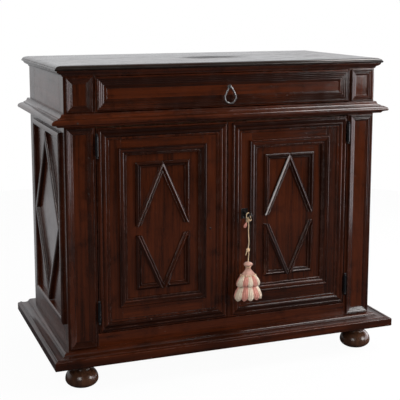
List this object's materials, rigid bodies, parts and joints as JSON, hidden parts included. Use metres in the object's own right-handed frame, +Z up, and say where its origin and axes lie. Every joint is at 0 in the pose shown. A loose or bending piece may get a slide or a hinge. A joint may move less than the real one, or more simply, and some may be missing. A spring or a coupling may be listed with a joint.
{
  "type": "credenza",
  "caption": "Dark walnut credenza: moulded frieze drawer with a drop ring, a pair of lozenge-panelled doors with a tasselled key, framed sides, stepped base and bun feet.",
  "frame": {"origin": "middle of the footprint on the floor, under the outline of the base", "axes": "+X to the viewer's right along the front, +Y to the back, +Z up; the doors face -Y"},
  "size_m": [1.196, 0.643, 1.021],
  "materials": {
    "walnut": "dark waxed walnut with worn edges",
    "inner_wood": "plain sawn and planed softwood, unpolished",
    "iron": "blackened wrought iron",
    "cord": "twisted straw-coloured cord",
    "tassel": "cut silk and cotton fringe, cream and salmon pink"
  },
  "bodies": {
    "carcass": {"front_left_post": "walnut", "front_right_post": "walnut", "rear_posts": "walnut", "left_side_panel": "walnut", "right_side_panel": "walnut", "side_bottom_rails": "walnut", "frieze_side_boards": "walnut", "left_side_moulding": "walnut", "right_side_moulding": "walnut", "front_bottom_rail": "walnut", "waist_rail": "walnut", "top_rail": "walnut", "post_mouldings": "walnut", "top_board": "walnut", "top_moulding_front": "walnut", "top_moulding_returns": "walnut", "waist_moulding_front": "walnut", "waist_moulding_returns": "walnut", "base_moulding_front": "walnut", "base_moulding_returns": "walnut", "base_back_rail": "walnut", "bottom_board": "inner_wood", "bun_feet": "walnut", "back_boards": "inner_wood", "shelf": "inner_wood", "shelf_cleats": "inner_wood", "dust_board": "inner_wood", "drawer_runners": "inner_wood", "drawer_guides": "inner_wood", "door_stop": "inner_wood", "hinge_pintles": "iron"},
    "left_door": {"left_door_stiles": "walnut", "left_door_rails": "walnut", "left_door_panel": "walnut", "left_door_edge_moulding": "walnut", "left_door_panel_moulding": "walnut", "left_door_lozenge": "walnut", "left_hinge_eyes": "iron", "slide_bolt_staples": "iron", "lock_keeper": "iron"},
    "slide_bolt_body": {"slide_bolt": "iron"},
    "right_door": {"right_door_stiles": "walnut", "right_door_rails": "walnut", "right_door_panel": "walnut", "right_door_edge_moulding": "walnut", "right_door_panel_moulding": "walnut", "right_door_lozenge": "walnut", "right_hinge_eyes": "iron", "lock_case": "iron", "key_cord": "cord", "key_tassel": "tassel"},
    "lock_bolt_body": {"lock_bolt": "iron"},
    "key": {"door_key": "iron"},
    "drawer": {"drawer_front": "walnut", "drawer_moulding": "walnut", "drawer_sides": "inner_wood", "drawer_back": "inner_wood", "drawer_bottom": "inner_wood", "ring_staple": "iron"},
    "ring": {"ring_pull": "iron"}
  },
  "joints": [
    {"name": "left_door_hinge", "type": "hinge", "parent": "carcass", "child": "left_door", "pos_m": [-0.4405, -0.2625, 0.5], "axis": [0, 0, -1], "range_deg": [0, 170]},
    {"name": "right_door_hinge", "type": "hinge", "parent": "carcass", "child": "right_door", "pos_m": [0.4405, -0.2625, 0.5], "axis": [0, 0, 1], "range_deg": [0, 170]},
    {"name": "left_bolt_slide", "type": "slide", "parent": "left_door", "child": "slide_bolt_body", "axis": [0, 0, 1], "range_m": [0, 0.013]},
    {"name": "key_turn", "type": "hinge", "parent": "right_door", "child": "key", "pos_m": [0.06, -0.2535, 0.52], "axis": [0, -1, 0], "range_deg": [0, 180]},
    {"name": "lock_bolt_slide", "type": "slide", "parent": "right_door", "child": "lock_bolt_body", "axis": [-1, 0, 0], "range_m": [0, 0.014]},
    {"name": "drawer_slide", "type": "slide", "parent": "carcass", "child": "drawer", "axis": [0, -1, 0], "range_m": [0, 0.34]},
    {"name": "ring_swing", "type": "hinge", "parent": "drawer", "child": "ring", "pos_m": [0.003, -0.2665, 0.9405], "axis": [-1, 0, 0], "range_deg": [0, 100]}
  ],
  "couplings": [
    {"joint": "key_turn", "follows": "lock_bolt_slide", "rad_per_m": 224.39}
  ]
}
